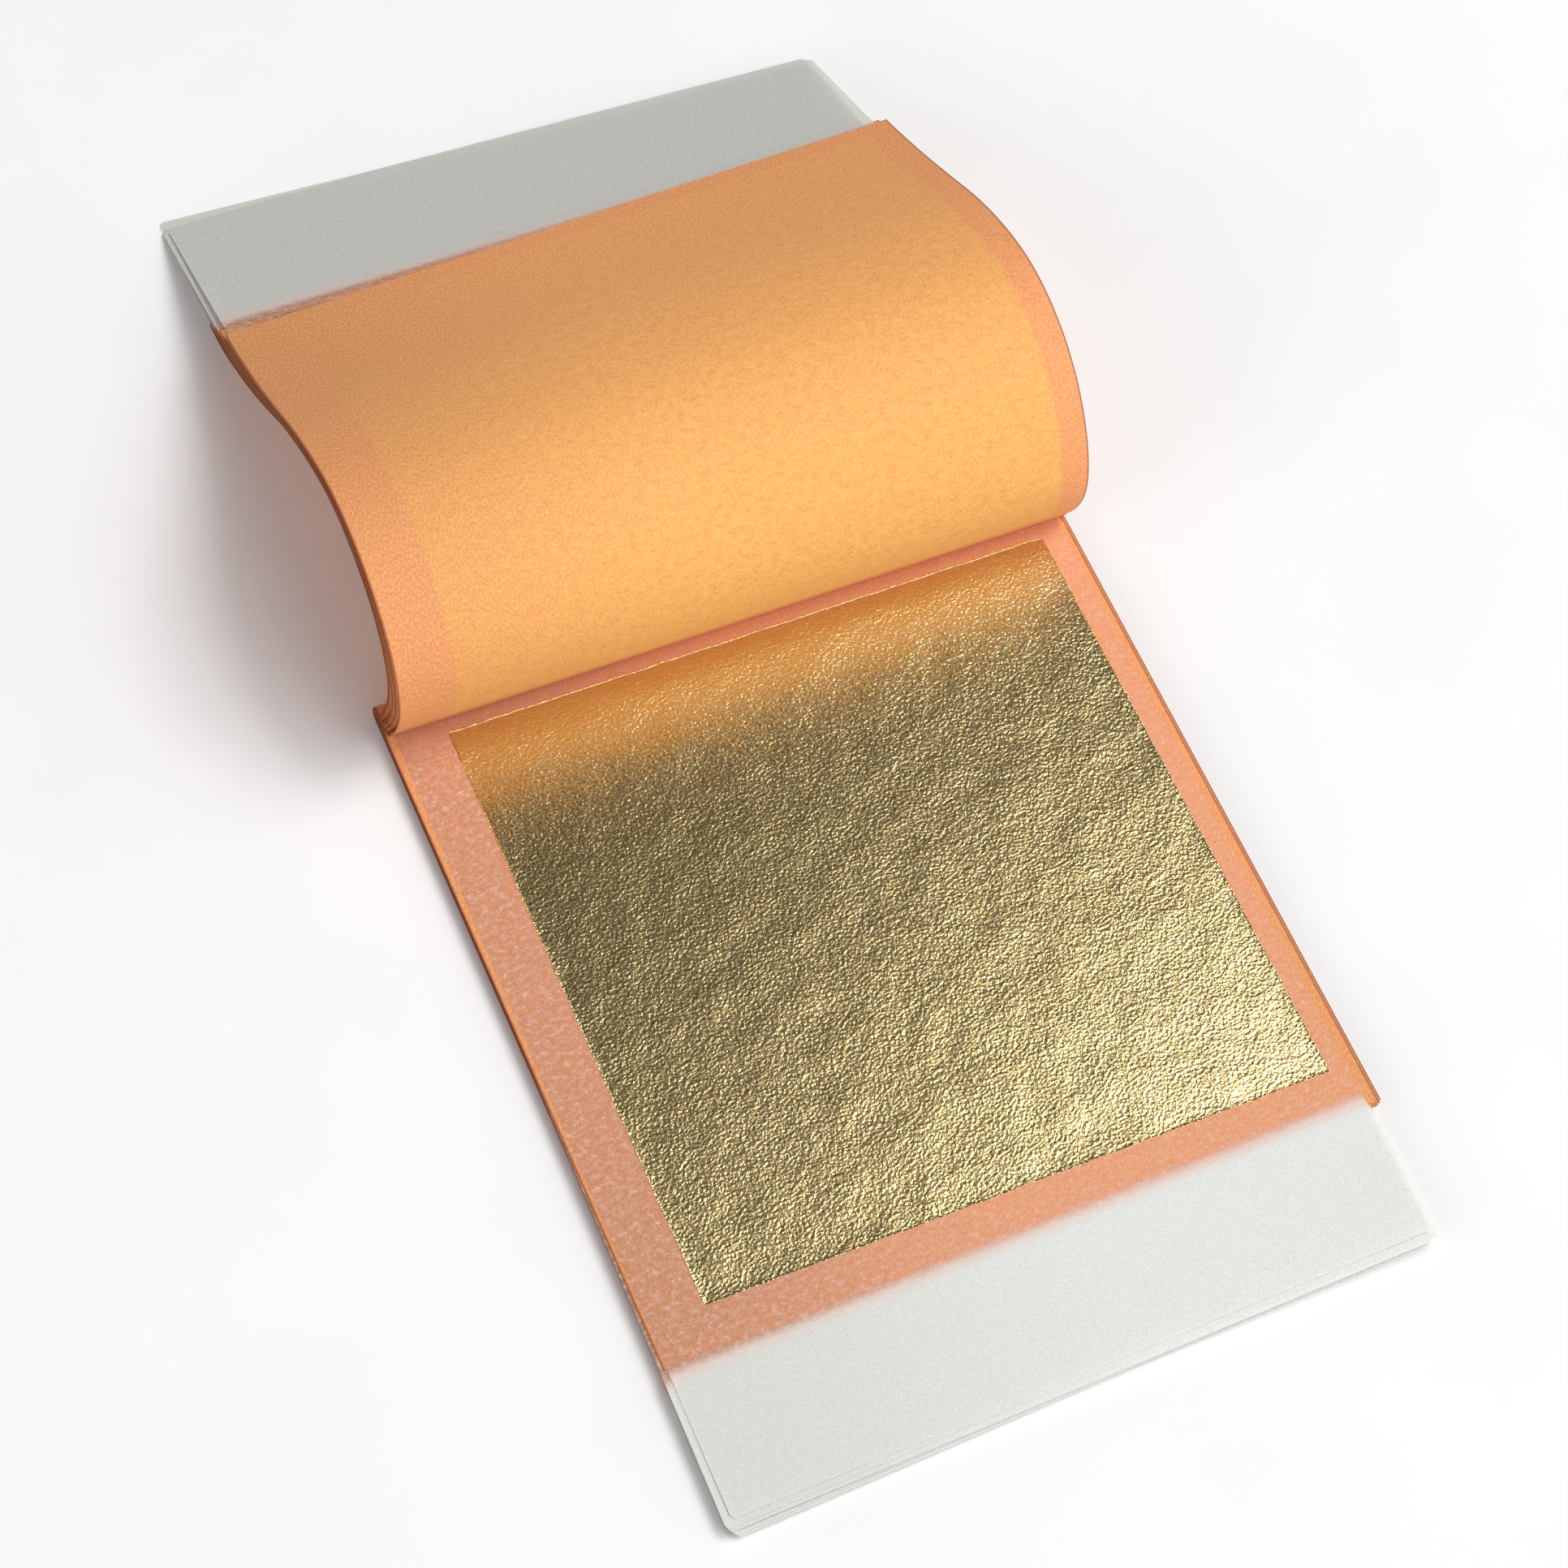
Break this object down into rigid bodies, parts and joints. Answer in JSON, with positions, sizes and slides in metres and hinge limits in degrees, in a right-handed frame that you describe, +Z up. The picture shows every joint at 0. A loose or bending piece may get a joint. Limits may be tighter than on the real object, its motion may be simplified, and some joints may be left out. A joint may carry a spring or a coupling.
{
  "type": "gold leaf booklet",
  "caption": "Sewn booklet of orange rouged paper with loose tissues that each carry one square of gold leaf, open with half its pages turned back in a curl.",
  "frame": {"origin": "on the table, under the middle of the crease that the turning page hinges on: the rest mount", "axes": "+X along the spine, +Y towards the turned pages, +Z up from the table"},
  "size_m": [0.091, 0.185, 0.0318],
  "materials": {
    "rouged_paper": "matte",
    "carrier_tissue": "matte",
    "gold_leaf": "satin",
    "thread": "matte"
  },
  "bodies": {
    "booklet": {"folded_sheet_1": "rouged_paper", "folded_sheet_2": "rouged_paper", "folded_sheet_3": "rouged_paper", "folded_sheet_4": "rouged_paper", "folded_sheet_5": "rouged_paper", "folded_sheet_6": "rouged_paper", "folded_sheet_7": "rouged_paper", "folded_sheet_8": "rouged_paper", "folded_sheet_9": "rouged_paper", "folded_sheet_10": "rouged_paper", "folded_sheet_11": "rouged_paper", "folded_sheet_12": "rouged_paper", "folded_sheet_13": "rouged_paper", "turned_tissue_1": "carrier_tissue", "turned_tissue_2": "carrier_tissue", "turned_tissue_3": "carrier_tissue", "turned_tissue_4": "carrier_tissue", "turned_tissue_5": "carrier_tissue", "turned_leaf_1": "gold_leaf", "turned_leaf_2": "gold_leaf", "turned_leaf_3": "gold_leaf", "turned_leaf_4": "gold_leaf", "turned_leaf_5": "gold_leaf", "sewing_thread": "thread"},
    "page_strip_1": {"turning_page_strip_1": "rouged_paper"},
    "page_strip_2": {"turning_page_strip_2": "rouged_paper"},
    "page_strip_3": {"turning_page_strip_3": "rouged_paper"},
    "page_strip_4": {"turning_page_strip_4": "rouged_paper"},
    "page_strip_5": {"turning_page_strip_5": "rouged_paper"},
    "page_strip_6": {"turning_page_strip_6": "rouged_paper"},
    "page_strip_7": {"turning_page_strip_7": "rouged_paper"},
    "page_strip_8": {"turning_page_strip_8": "rouged_paper"},
    "page_strip_9": {"turning_page_strip_9": "rouged_paper"},
    "leaf_on_tissue_6": {"carrier_tissue_6": "carrier_tissue", "gold_leaf_6": "gold_leaf"},
    "leaf_on_tissue_7": {"carrier_tissue_7": "carrier_tissue", "gold_leaf_7": "gold_leaf"},
    "leaf_on_tissue_8": {"carrier_tissue_8": "carrier_tissue", "gold_leaf_8": "gold_leaf"},
    "leaf_on_tissue_9": {"carrier_tissue_9": "carrier_tissue", "gold_leaf_9": "gold_leaf"},
    "leaf_on_tissue_10": {"carrier_tissue_10": "carrier_tissue", "gold_leaf_10": "gold_leaf"},
    "leaf_on_tissue_11": {"carrier_tissue_11": "carrier_tissue", "gold_leaf_11": "gold_leaf"},
    "leaf_on_tissue_12": {"carrier_tissue_12": "carrier_tissue", "gold_leaf_12": "gold_leaf"},
    "lower_leaves_on_tissues": {"lower_tissues": "carrier_tissue", "lower_leaves": "gold_leaf"}
  },
  "joints": [
    {"name": "page_crease_hinge", "type": "hinge", "parent": "booklet", "child": "page_strip_1", "pos_m": [0, 0, 0.00191], "axis": [1, 0, 0], "range_deg": [0, 60.21]},
    {"name": "page_bend_2", "type": "hinge", "parent": "page_strip_1", "child": "page_strip_2", "pos_m": [0, -0.00297, 0.00709], "axis": [1, 0, 0], "range_deg": [0, 18.43]},
    {"name": "page_bend_3", "type": "hinge", "parent": "page_strip_2", "child": "page_strip_3", "pos_m": [0, -0.00414, 0.01295], "axis": [1, 0, 0], "range_deg": [0, 18.95]},
    {"name": "page_bend_4", "type": "hinge", "parent": "page_strip_3", "child": "page_strip_4", "pos_m": [0, -0.00336, 0.01886], "axis": [1, 0, 0], "range_deg": [0, 20.66]},
    {"name": "page_bend_5", "type": "hinge", "parent": "page_strip_4", "child": "page_strip_5", "pos_m": [0, -0.00053, 0.02412], "axis": [1, 0, 0], "range_deg": [0, 21.77]},
    {"name": "page_bend_6", "type": "hinge", "parent": "page_strip_5", "child": "page_strip_6", "pos_m": [0, 0.0048, 0.02859], "axis": [1, 0, 0], "range_deg": [0, 18.58]},
    {"name": "page_bend_7", "type": "hinge", "parent": "page_strip_6", "child": "page_strip_7", "pos_m": [0, 0.01222, 0.0315], "axis": [1, 0, 0], "range_deg": [0, 19.55]},
    {"name": "page_bend_8", "type": "hinge", "parent": "page_strip_7", "child": "page_strip_8", "pos_m": [0, 0.02117, 0.03179], "axis": [1, 0, 0], "range_deg": [0, 19.99]},
    {"name": "page_bend_9", "type": "hinge", "parent": "page_strip_8", "child": "page_strip_9", "pos_m": [0, 0.03252, 0.02807], "axis": [1, 0, 0], "range_deg": [0, 10.88]},
    {"name": "tissue_6_slide", "type": "slide", "parent": "booklet", "child": "leaf_on_tissue_6", "axis": [0, -1, 0], "range_m": [0, 0.088]},
    {"name": "tissue_7_slide", "type": "slide", "parent": "booklet", "child": "leaf_on_tissue_7", "axis": [0, -1, 0], "range_m": [0, 0.088]},
    {"name": "tissue_8_slide", "type": "slide", "parent": "booklet", "child": "leaf_on_tissue_8", "axis": [0, -1, 0], "range_m": [0, 0.088]},
    {"name": "tissue_9_slide", "type": "slide", "parent": "booklet", "child": "leaf_on_tissue_9", "axis": [0, -1, 0], "range_m": [0, 0.088]},
    {"name": "tissue_10_slide", "type": "slide", "parent": "booklet", "child": "leaf_on_tissue_10", "axis": [0, -1, 0], "range_m": [0, 0.088]},
    {"name": "tissue_11_slide", "type": "slide", "parent": "booklet", "child": "leaf_on_tissue_11", "axis": [0, -1, 0], "range_m": [0, 0.088]},
    {"name": "tissue_12_slide", "type": "slide", "parent": "booklet", "child": "leaf_on_tissue_12", "axis": [0, -1, 0], "range_m": [0, 0.088]},
    {"name": "lower_tissues_slide", "type": "slide", "parent": "booklet", "child": "lower_leaves_on_tissues", "axis": [0, -1, 0], "range_m": [0, 0.088]}
  ]
}
